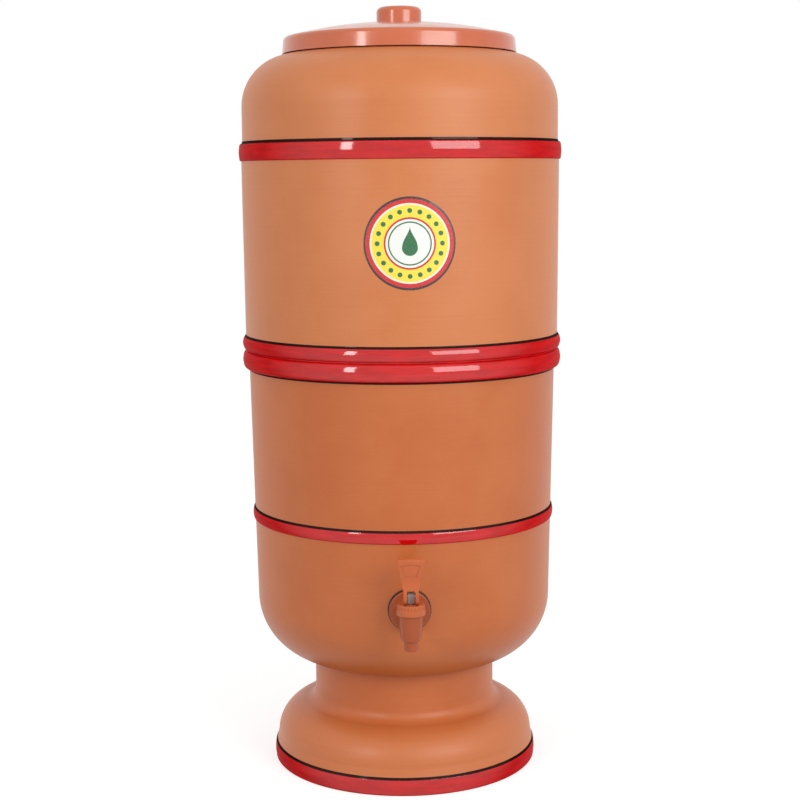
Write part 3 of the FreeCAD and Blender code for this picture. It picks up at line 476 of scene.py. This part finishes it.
@dataclass(frozen=True)
class DrawnSteel:
    """Drawn steel wire and rod."""

    name: str = "drawn_steel"
    tone: Colour = (0.56, 0.56, 0.55)
    dull: Colour = (0.36, 0.35, 0.34)
    mark_stretch: float = 9.0
    mark_scale: float = 420.0
    mark_depth: float = 0.01 * MM

    def make(self) -> bpy.types.Material:
        """Make the material.

        Returns:
            Steel with drawing marks along it.
        """
        recipe = Recipe.of_material(self.name)
        along = recipe.place(scale=(1.0, self.mark_stretch, self.mark_stretch))
        marks = recipe.noise(along, self.mark_scale, 3.0, 0.6)
        colour = recipe.mix(marks.spread(0.4, 0.8), self.tone, self.dull)
        rough = marks.spread(0.3, 0.8, 0.22, 0.40)
        relief = recipe.bump(marks, self.mark_depth)
        changing = {"Base Color": colour, "Roughness": rough, "Normal": relief}
        return recipe.finish(changing, {"Metallic": 1.0})


@dataclass(frozen=True)
class PorousCeramic:
    """The white filter ceramic of the candles."""

    name: str = "porous_ceramic"
    tone: Colour = (0.80, 0.77, 0.69)
    stain: Colour = (0.66, 0.58, 0.44)
    stain_scale: float = 34.0
    pore_scale: float = 1700.0
    pore_depth: float = 0.06 * MM

    def make(self) -> bpy.types.Material:
        """Make the material.

        Returns:
            Ceramic with pores and a faint stain from the water.
        """
        recipe = Recipe.of_material(self.name)
        place = recipe.place()
        stain = recipe.noise(place, self.stain_scale, 4.0, 0.6)
        pores = recipe.noise(place, self.pore_scale, 3.0, 0.7)
        colour = recipe.mix(stain.spread(0.45, 0.85) * 0.5, self.tone, self.stain)
        colour = recipe.mix(pores.spread(0.55, 0.85) * 0.25, colour, self.stain)
        rough = pores.spread(0.2, 0.8, 0.78, 0.95)
        relief = recipe.bump(pores, self.pore_depth)
        return recipe.finish({"Base Color": colour, "Roughness": rough, "Normal": relief}, {})


@dataclass(frozen=True)
class PrintedLabel:
    """A round label printed with rings, dots and a drop of water."""

    centre: Vector
    radius: float
    name: str = "printed_label"
    red: Colour = (0.62, 0.018, 0.022)
    yellow: Colour = (0.90, 0.74, 0.060)
    cream: Colour = (0.90, 0.84, 0.66)
    white: Colour = (0.88, 0.88, 0.84)
    green: Colour = (0.020, 0.150, 0.050)
    dark: Colour = (0.030, 0.020, 0.016)
    rim: float = 0.95
    dot_count: int = 20
    dot_ring: float = 0.70
    dot_size: float = 0.052
    drop_size: float = 0.17
    film: float = 0.4
    grain_scale: float = 900.0

    def make(self) -> bpy.types.Material:
        """Make the material.

        Returns:
            The print, under a gloss film.
        """
        recipe = Recipe.of_material(self.name)
        place = recipe.place(self.centre, (1.0 / self.radius,) * 3)
        across = recipe.node("SeparateXYZ", values={0: place}, output="X")
        up = recipe.node("SeparateXYZ", values={0: place}, output="Z")
        reach = (across * across + up * up) ** 0.5
        outer = ((self.rim, self.red), (0.86, self.cream), (0.82, self.yellow))
        inner = ((0.56, self.red), (0.52, self.white), (0.47, self.green), (0.44, self.white))
        colour: Shade | Colour = self.dark
        for edge, ink in outer:
            colour = recipe.mix(reach.below(edge), colour, ink)
        colour = recipe.mix(self._dots(recipe, across, up, reach), colour, self.green)
        for edge, ink in inner:
            colour = recipe.mix(reach.below(edge), colour, ink)
        colour = recipe.mix(self._drop(across, up), colour, self.green)
        grain = recipe.noise(recipe.place(), self.grain_scale, 2.0, 0.5)
        colour = recipe.mix(grain.spread(0.5, 0.9) * 0.10, colour, self.white)
        rough = grain.spread(0.3, 0.8, 0.26, 0.38)
        return recipe.finish({"Base Color": colour, "Roughness": rough}, {"Coat Weight": self.film})

    def _dots(self, recipe: Recipe, across: Shade, up: Shade, reach: Shade) -> Shade:
        """The ring of dots.

        Args:
            recipe: The material.
            across: The place across the label, in radii.
            up: The place up the label, in radii.
            reach: The distance from the middle, in radii.

        Returns:
            1 on a dot, else 0.
        """
        step = 2.0 * math.pi / self.dot_count
        angle = recipe.node("Math", {"operation": "ARCTAN2"}, {0: up, 1: across})
        within = recipe.node("Math", {"operation": "PINGPONG"}, {0: angle, 1: step / 2.0})
        aside = within * self.dot_ring
        along = reach - self.dot_ring
        return (aside * aside + along * along).below(self.dot_size**2)

    def _drop(self, across: Shade, up: Shade) -> Shade:
        """The drop of water: a disc under a pointed cap.

        Args:
            across: The place across the label, in radii.
            up: The place up the label, in radii.

        Returns:
            1 on the drop, else 0.
        """
        size = self.drop_size
        low = up + size * 0.55
        disc = (across * across + low * low).below(size**2)
        rise = up.spread(-size * 0.35, size * 2.2, 0.0, 1.0)
        half_width = (1.0 - rise) * (size * 0.96)
        cap = (across * across).below(half_width * half_width)
        return disc.most(cap * (0.0 - up).below(size * 0.35))


def shown(name: str) -> bpy.types.Object:
    """The object of a CAD node."""
    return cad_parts[name]


def dress(names: list[str], material: bpy.types.Material) -> None:
    """Give CAD nodes a finish.

    Args:
        names: The nodes.
        material: The finish.
    """
    for name in names:
        for slot in shown(name).material_slots:
            slot.material = material
    LOG.info("dressed %s in %s", ", ".join(names), material.name)


@cache
def skin(name: str) -> BVHTree:
    """The search tree of a CAD node's faces."""
    return BVHTree.FromObject(shown(name), bpy.context.evaluated_depsgraph_get())


def wall_reach(name: str, height: float) -> float:
    """How far a round CAD node reaches from the axis at a height.

    Args:
        name: The node.
        height: The height in metres.

    Returns:
        The largest radius met by rays from behind and from both sides.
    """
    rays, far = 24, 0.3
    found = 0.0
    for number in range(rays + 1):
        angle = math.pi * number / rays
        outward = Vector((math.cos(angle), math.sin(angle), 0.0))
        start = outward * far + Vector((0.0, 0.0, height))
        spot = skin(name).ray_cast(start, -outward)[0]
        if spot is not None:
            found = max(found, spot.xy.length)
    return found


def spun(profile: Profile, steps: int, closed: bool = True) -> bmesh.types.BMesh:
    """Turn an outline round the Z axis.

    Args:
        profile: Corners as radius and height in metres.
        steps: How many steps go round.
        closed: Whether the last corner is joined to the first one.

    Returns:
        The mesh work.
    """
    mesh = bmesh.new()
    row = [mesh.verts.new((radius, 0.0, height)) for radius, height in profile]
    edges = [mesh.edges.new((row[n - 1], corner)) for n, corner in enumerate(row) if closed or n]
    bmesh.ops.spin(
        mesh,
        geom=row + edges,
        cent=(0.0, 0.0, 0.0),
        axis=(0.0, 0.0, 1.0),
        angle=2.0 * math.pi,
        steps=steps,
        use_merge=True,
    )
    return mesh


def piece(name: str, mesh: bmesh.types.BMesh) -> bpy.types.Object:
    """Make an object from finished mesh work.

    Args:
        name: The piece's name.
        mesh: The mesh work, which is freed.

    Returns:
        The object, at the origin.
    """
    bmesh.ops.remove_doubles(mesh, verts=mesh.verts[:], dist=SAME_PLACE)
    bmesh.ops.recalc_face_normals(mesh, faces=mesh.faces[:])
    data = bpy.data.meshes.new(name)
    mesh.to_mesh(data)
    mesh.free()
    data.shade_smooth()
    data.set_sharp_from_angle(angle=SHARP_EDGE)
    item = bpy.data.objects.new(name, data)
    bpy.context.scene.collection.objects.link(item)
    return item


def settle(item: bpy.types.Object, body: Body, material: bpy.types.Material) -> None:
    """Give a new piece its finish and the body that it rides on.

    Args:
        item: The piece.
        body: The body that carries it.
        material: The finish.
    """
    item.data.materials.append(material)
    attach(item, body.value)
    LOG.info("made %s with %d faces", item.name, len(item.data.polygons))


@dataclass
class Band:
    """A raised ring of the clay with its red enamel and the dark line along one edge."""

    name: str
    node: str
    body: Body
    bottom: float
    top: float
    corner: float
    rounded: bool = False
    line_side: Side = Side.ABOVE
    at_joint: bool = False
    red_thickness: float = 0.42 * MM
    red_shoulder: float = 3.2 * MM
    line_thickness: float = 0.30 * MM
    line_shoulder: float = 0.55 * MM
    line_width: float = 1.6 * MM
    film: float = 0.13 * MM
    crown: float = 0.45 * MM
    crown_margin: float = 1.1 * MM
    overlap: float = 0.45 * MM
    depth: float = 0.5 * MM
    joint_gap: float = 0.01 * MM
    joint_depth: float = 0.05 * MM
    near: float = 0.1 * MM
    beside: float = 2.0 * MM
    steps: int = 256

    def __post_init__(self) -> None:
        """Measure the clay on the band and beside it, or just inside the joint."""
        beside, within = (self.near, self.beside), (-self.joint_depth, -self.joint_depth)
        self.crest = wall_reach(self.node, (self.bottom + self.top) / 2.0)
        above = within if self.at_joint and self.line_side is Side.BELOW else beside
        below = within if self.at_joint and self.line_side is Side.ABOVE else beside
        self.walls_above = [wall_reach(self.node, self.top + past) for past in above]
        self.walls_below = [0.0, 0.0]
        if self.bottom > below[1]:
            self.walls_below = [wall_reach(self.node, self.bottom - past) for past in below]

    def _wall(self, height: float) -> float:
        """The radius of the clay beside the band, which may lean.

        Args:
            height: The height in metres.

        Returns:
            The radius, or the nearest one within the band.
        """
        upper = height > (self.bottom + self.top) / 2.0
        near, far = self.walls_above if upper else self.walls_below
        past = height - self.top if upper else self.bottom - height
        return near + (far - near) * max(past, 0.0) / self.beside

    def surface(self, height: float) -> float:
        """The radius of the clay's surface at a height.

        Args:
            height: The height in metres.

        Returns:
            The radius of the band, or of the wall where it stands further out.
        """
        wall = self._wall(height)
        inside = min(height - self.bottom, self.top - height)
        if inside < 0.0:
            return wall
        if inside >= self.corner:
            return self.crest
        if self.rounded:
            across = self.corner - inside
            return max(wall, self.crest - self.corner + math.sqrt(self.corner**2 - across**2))
        return max(wall, self.crest - self.corner + inside)

    def _swell(self, height: float) -> float:
        """How much of the enamel's crown there is at a height.

        Args:
            height: The height in metres.

        Returns:
            1 in the middle of the band, falling to 0 at its edges.
        """
        reach = (self.top - self.bottom) / 2.0 - self.corner + self.crown_margin
        aside = min(abs(height - (self.bottom + self.top) / 2.0) / reach, 1.0)
        return math.cos(aside * math.pi / 2.0) ** 2

    def coat(
        self, low: float, high: float, thickness: float, shoulder: float, crown: float
    ) -> Profile:
        """The cross-section of a coat of enamel that thins out at its ends.

        Args:
            low: The lower end.
            high: The upper end.
            thickness: How far it stands off the clay.
            shoulder: How far from its ends it has its full thickness.
            crown: How much further it stands off the clay in the middle of the band.

        Returns:
            A closed outline.
        """
        fine, count = 600, 48
        heights = [low + (high - low) * n / fine for n in range(fine + 1)]
        path = [Vector((self.surface(height), height)) for height in heights]
        run = [0.0]
        for before, after in zip(path, path[1:]):
            run.append(run[-1] + (after - before).length)
        outer, inner = [], []
        place = 0
        for number in range(count + 1):
            along = run[-1] * number / count
            while place < fine - 1 and run[place + 1] < along:
                place += 1
            step = path[place + 1] - path[place]
            spot = path[place] + step * ((along - run[place]) / step.length)
            outward = Vector((step.y, -step.x)).normalized()
            near = min(along, run[-1] - along, shoulder) / shoulder
            round_off = math.sqrt(max(0.0, 1.0 - (1.0 - near) ** 2))
            lift = self.film + (thickness - self.film) * round_off + crown * self._swell(spot.y)
            front, back = spot + outward * lift, spot - outward * self.depth
            outer.append((front.x, self._off_joint(front.y)))
            inner.append((back.x, self._off_joint(back.y)))
        return outer + inner[::-1]

    def _off_joint(self, height: float) -> float:
        """Hold a height clear of the plane in which the chambers meet.

        Args:
            height: The height in metres.

        Returns:
            The height, on the band's own side of that plane.
        """
        if not self.at_joint:
            return height
        if self.line_side is Side.ABOVE:
            return max(height, self.bottom + self.joint_gap)
        return min(height, self.top - self.joint_gap)

    def build(self, red: bpy.types.Material, black: bpy.types.Material) -> None:
        """Make the enamel and the line.

        Args:
            red: The enamel of the band.
            black: The enamel of the line.
        """
        edge = self._line_start()
        if self.line_side is Side.ABOVE:
            red_span = (self.bottom + self.joint_gap, edge)
            line_span = (edge - self.overlap, edge + self.line_width)
        else:
            red_span = (edge, self.top - self.joint_gap)
            line_span = (edge - self.line_width, edge + self.overlap)
        coat = self.coat(*red_span, self.red_thickness, self.red_shoulder, self.crown)
        enamel = piece(f"{self.name}_enamel", spun(coat, self.steps))
        settle(enamel, self.body, red)
        coat = self.coat(*line_span, self.line_thickness, self.line_shoulder, 0.0)
        line = piece(f"{self.name}_line", spun(coat, self.steps))
        settle(line, self.body, black)

    def _line_start(self) -> float:
        """Find where the band's face ends and its dark line begins.

        Returns:
            The height in metres.
        """
        sign = self.line_side.value
        edge = self.top if self.line_side is Side.ABOVE else self.bottom
        wall = self._wall(edge)
        step, met, back = 0.05 * MM, 0.02 * MM, 0.5 * MM
        while self.surface(edge - sign * step) <= wall + met:
            edge -= sign * step
        return edge - sign * back


@dataclass
class ClayPot:
    """The two clay chambers with their bands and the label."""

    red: bpy.types.Material
    black: bpy.types.Material
    # The lower chamber's clay is a darker copy of the upper chamber's, as painted shade.
    shaded_lower_clay: bpy.types.Material
    upper_clay: bpy.types.Material
    joint: float = field(init=False)
    band_rise: float = 142.4 * MM
    band_height: float = 12.9 * MM
    band_corner: float = 0.9 * MM
    band_line: float = 2.2 * MM
    belly_drop: float = 130.3 * MM
    belly_height: float = 8.7 * MM
    low_corner: float = 0.7 * MM
    foot_height: float = 13.0 * MM
    foot_gap: float = 0.3 * MM
    upper_bead: float = 11.6 * MM
    lower_bead: float = 14.0 * MM
    bead_round: float = 4.0 * MM
    foot_turn_centre: tuple[float, float] = (73.8 * MM, 20.0 * MM)
    foot_turn_radius: float = 25.7 * MM
    neck_middle: float = 65.0 * MM
    cove_radius: float = 9.0 * MM
    cove_sink: float = 0.03 * MM
    cove_depth: float = 1.2 * MM
    cove_steps: tuple[int, int] = (24, 256)
    label_rise: float = 84.0 * MM
    label_radius: float = 32.5 * MM
    label_thickness: float = 0.16 * MM
    label_aside: float = 2.0 * MM
    label_steps: tuple[int, int] = (20, 128)

    def __post_init__(self) -> None:
        """Find the level at which the chambers meet."""
        self.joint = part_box("lower_chamber")[1].z

    def build(self) -> None:
        """Dress the clay and make its bands and label."""
        dress(["lower_chamber"], self.shaded_lower_clay)
        dress(["upper_chamber"], self.upper_clay)
        for band in self.bands():
            band.build(self.red, self.black)
        self.cove()
        self.label()

    def bands(self) -> list[Band]:
        """Place the bands on the two chambers.

        Returns:
            The bands, from the foot up.
        """
        joint = self.joint
        belly = joint - self.belly_drop
        band = joint + self.band_rise
        lower = partial(Band, node="lower_chamber", body=Body.LOWER)
        upper = partial(Band, node="upper_chamber", body=Body.UPPER)
        bead = {"corner": self.bead_round, "rounded": True, "at_joint": True}
        return [
            lower("foot", bottom=self.foot_gap, top=self.foot_height, corner=self.low_corner),
            lower("belly", bottom=belly, top=belly + self.belly_height, corner=self.low_corner),
            lower(
                "lower_bead",
                bottom=joint - self.lower_bead,
                top=joint,
                line_side=Side.BELOW,
                **bead,
            ),
            upper("upper_bead", bottom=joint, top=joint + self.upper_bead, **bead),
            upper(
                "upper",
                bottom=band,
                top=band + self.band_height,
                corner=self.band_corner,
                line_width=self.band_line,
            ),
        ]

    def cove(self) -> None:
        """Smooth the clay from the neck into the foot with a hollow curve."""
        neck = wall_reach("lower_chamber", self.neck_middle)
        axis, height = self.foot_turn_centre
        reach = self.foot_turn_radius + self.cove_radius
        aside = neck + self.cove_radius - axis
        centre = Vector((neck + self.cove_radius, height + math.sqrt(reach**2 - aside**2)))
        to_foot = math.atan2(height - centre.y, axis - centre.x)
        steps, around = self.cove_steps
        outer, inner = [], []
        for number in range(steps + 1):
            angle = -math.pi + (to_foot + math.pi) * number / steps
            way = Vector((math.cos(angle), math.sin(angle)))
            outer.append(tuple(centre + way * (self.cove_radius + self.cove_sink)))
            inner.append(tuple(centre + way * (self.cove_radius + self.cove_depth)))
        item = piece("neck_cove", spun(outer + inner[::-1], around))
        settle(item, Body.LOWER, self.shaded_lower_clay)

    def label(self) -> None:
        """Stick the round label on the front of the upper chamber."""
        height = self.joint + self.label_rise
        wall = wall_reach("upper_chamber", height)
        slope = (wall_reach("upper_chamber", height + self.label_radius) - wall) / self.label_radius
        radius, thickness = self.label_radius, self.label_thickness
        rings, around = self.label_steps
        face = [(radius * n / rings, thickness) for n in range(rings)]
        edge = [(radius, thickness / 3.0), (radius, -thickness)]
        back = [(radius * n / rings, -thickness) for n in range(rings - 1, -1, -1)]
        mesh = spun(face + edge + back, around, closed=False)
        for corner in mesh.verts:
            across, up, out = corner.co
            reach = wall + slope * up + out
            angle = (across + self.label_aside) / wall
            corner.co = (reach * math.sin(angle), -reach * math.cos(angle), height + up)
        item = piece("label", mesh)
        centre = Vector((self.label_aside, 0.0, height))
        settle(item, Body.UPPER, PrintedLabel(centre, radius).make())


@dataclass
class Fittings:
    """The lid, the tap, the candles and the float valves, which the frame holds as they are."""

    rubber: bpy.types.Material
    steel: bpy.types.Material
    white: bpy.types.Material

    def build(self) -> None:
        """Dress every fitting."""
        self.lid()
        self.tap()
        self.candles()
        self.floats()

    def lid(self) -> None:
        """Dress the lid."""
        plastic = partial(MouldedPlastic, roughness=0.20, coat=0.3)
        dress(["lid"], plastic("lid_plastic", (0.57, 0.125, 0.045), (0.62, 0.152, 0.060)).make())

    def tap(self) -> None:
        """Dress the tap."""
        plastic = partial(MouldedPlastic, sheen=0.3)
        light = plastic("tap_plastic", (0.52, 0.118, 0.036), (0.57, 0.142, 0.050), 0.28)
        dress(["tap_lever", "tap_bonnet"], light.make())
        # Painted shade: the tap body and nut get a darker copy of the lever's plastic, for the
        # shade under the lever and bonnet.
        deep = plastic("shaded_body_plastic", (0.38, 0.078, 0.022), (0.43, 0.098, 0.032), 0.26)
        dress(["tap_body", "tap_nut"], deep.make())
        grey = MouldedPlastic("stem_plastic", (0.36, 0.33, 0.30), (0.42, 0.39, 0.36), 0.36)
        dress(["tap_stem"], grey.make())
        dress(["tap_spring", "tap_lever_pin"], self.steel)
        seals = ["tap_seat_washer", "tap_stem_seal", "tap_outer_gasket", "tap_inner_gasket"]
        dress(seals, self.rubber)

    def candles(self) -> None:
        """Dress the filter candles."""
        dress(both("candle_shell"), PorousCeramic().make())
        dress(both("candle_base") + both("candle_nut"), self.white)
        dress(both("candle_gasket") + both("candle_washer"), self.rubber)

    def floats(self) -> None:
        """Dress the float valves."""
        clear = MouldedPlastic("float_plastic", (0.70, 0.76, 0.78), (0.78, 0.82, 0.83), 0.42)
        dress(both("float_bulb"), clear.make())
        dress(both("float_valve") + both("float_arm"), self.white)
        dress(both("float_pin"), self.steel)
        dress(both("float_pad"), self.rubber)


def both(name: str) -> list[str]:
    """The names of a piece on the left and on the right."""
    return [f"{name}_left", f"{name}_right"]


@dataclass(frozen=True)
class SoftBox:
    """A soft lamp that faces the pot."""

    name: str
    turn: float
    width: float
    power: float
    tall: float = 0.60
    distance: float = 1.50
    height: float = 0.79
    aim: float = 0.30

    def hang(self) -> None:
        """Hang the lamp, turned by degrees from the front towards +X."""
        data = bpy.data.lights.new(self.name, "AREA")
        data.shape = "RECTANGLE"
        data.size, data.size_y = self.width, self.tall
        data.energy = self.power
        lamp = bpy.data.objects.new(self.name, data)
        angle = math.radians(self.turn)
        aside, ahead = self.distance * math.sin(angle), self.distance * math.cos(angle)
        lamp.location = (aside, -ahead, self.height)
        way = Vector((0.0, 0.0, self.aim)) - lamp.location
        lamp.rotation_euler = way.to_track_quat("-Z", "Y").to_euler()
        bpy.context.scene.collection.objects.link(lamp)


@dataclass
class Studio:
    """A pale floor, soft lamps and the camera."""

    camera_distance: float = 1.264
    camera_height: float = 0.4525
    camera_turn: float = -2.0
    camera_pitch: float = -7.71
    camera_roll: float = -0.473
    camera_aside: float = -0.0016
    lens: float = 73.98
    sensor: float = 36.0
    floor_reach: float = 6.0
    floor_tone: Colour = (0.50, 0.50, 0.50)
    floor_glow: float = 0.65
    sky_light: float = 0.72

    def build(self) -> None:
        """Set the floor, the world, the lamps and the camera."""
        self.floor()
        self.world()
        SoftBox("right_box", turn=36.0, width=0.92, power=10.0).hang()
        SoftBox("left_box", turn=-38.0, width=0.20, power=4.6).hang()
        self.camera()

    def floor(self) -> None:
        """Lay a pale floor that the camera sees as white and that keeps the shadow."""
        recipe = Recipe.of_material("floor")
        glow = recipe.in_sight() * self.floor_glow
        matte = recipe.node("BsdfDiffuse", values={"Color": (*self.floor_tone, 1.0)})
        light = recipe.node("Emission", values={"Strength": glow})
        recipe.close("OutputMaterial", recipe.node("AddShader", values={0: matte, 1: light}))
        mesh = bmesh.new()
        bmesh.ops.create_grid(mesh, x_segments=1, y_segments=1, size=self.floor_reach)
        item = piece("floor", mesh)
        item.data.materials.append(recipe.owner)

    def world(self) -> None:
        """Surround the object with white for the eye and an even soft light."""
        world = bpy.data.worlds.new("studio")
        bpy.context.scene.world = world
        recipe = Recipe(world)
        strength = recipe.in_sight() * (1.0 - self.sky_light) + self.sky_light
        sky = {"Color": (1.0, 1.0, 1.0, 1.0), "Strength": strength}
        recipe.close("OutputWorld", recipe.node("Background", values=sky))

    def camera(self) -> None:
        """Stand the camera where the photograph was taken from."""
        data = bpy.data.cameras.new("camera")
        data.sensor_width = self.sensor
        data.lens = self.lens
        camera = bpy.data.objects.new("camera", data)
        place = Vector((self.camera_aside, -self.camera_distance, self.camera_height))
        turn = Matrix.Rotation(math.radians(self.camera_turn), 4, "Z")
        pitch = Matrix.Rotation(math.radians(90.0 + self.camera_pitch), 4, "X")
        roll = Matrix.Rotation(math.radians(self.camera_roll), 4, "Z")
        camera.matrix_world = turn @ Matrix.Translation(place) @ pitch @ roll
        bpy.context.scene.collection.objects.link(camera)
        bpy.context.scene.camera = camera
        bpy.context.scene.view_settings.view_transform = "Standard"


def main() -> None:
    """Dress the frame, add the pieces that it lacks and set the studio."""
    logging.basicConfig(level=logging.INFO, format="%(name)s: %(message)s")
    red = Enamel("red_enamel", (0.62, 0.002, 0.004), (0.50, 0.001, 0.002)).make()
    black = Enamel(
        "black_enamel", (0.010, 0.002, 0.001), (0.022, 0.004, 0.002), gloss=0.30, edge_gloss=0.06
    ).make()
    # Painted shade: the lower chamber gets a darker, deeper copy of the upper chamber's clay, for
    # the light that falls off towards the bottom.
    deep = FiredClay(
        "shaded_clay",
        tone=(0.530, 0.132, 0.030),
        pale=(0.610, 0.185, 0.062),
        dark=(0.470, 0.104, 0.020),
    )
    pale = FiredClay(
        "pale_clay",
        tone=(0.600, 0.186, 0.058),
        pale=(0.660, 0.232, 0.086),
        dark=(0.540, 0.152, 0.040),
    )
    ClayPot(red, black, deep.make(), pale.make()).build()
    white = MouldedPlastic("white_plastic", (0.80, 0.80, 0.77), (0.86, 0.86, 0.84), 0.34).make()
    Fittings(Rubber().make(), DrawnSteel().make(), white).build()
    Studio().build()


if __name__ == "__main__":
    main()
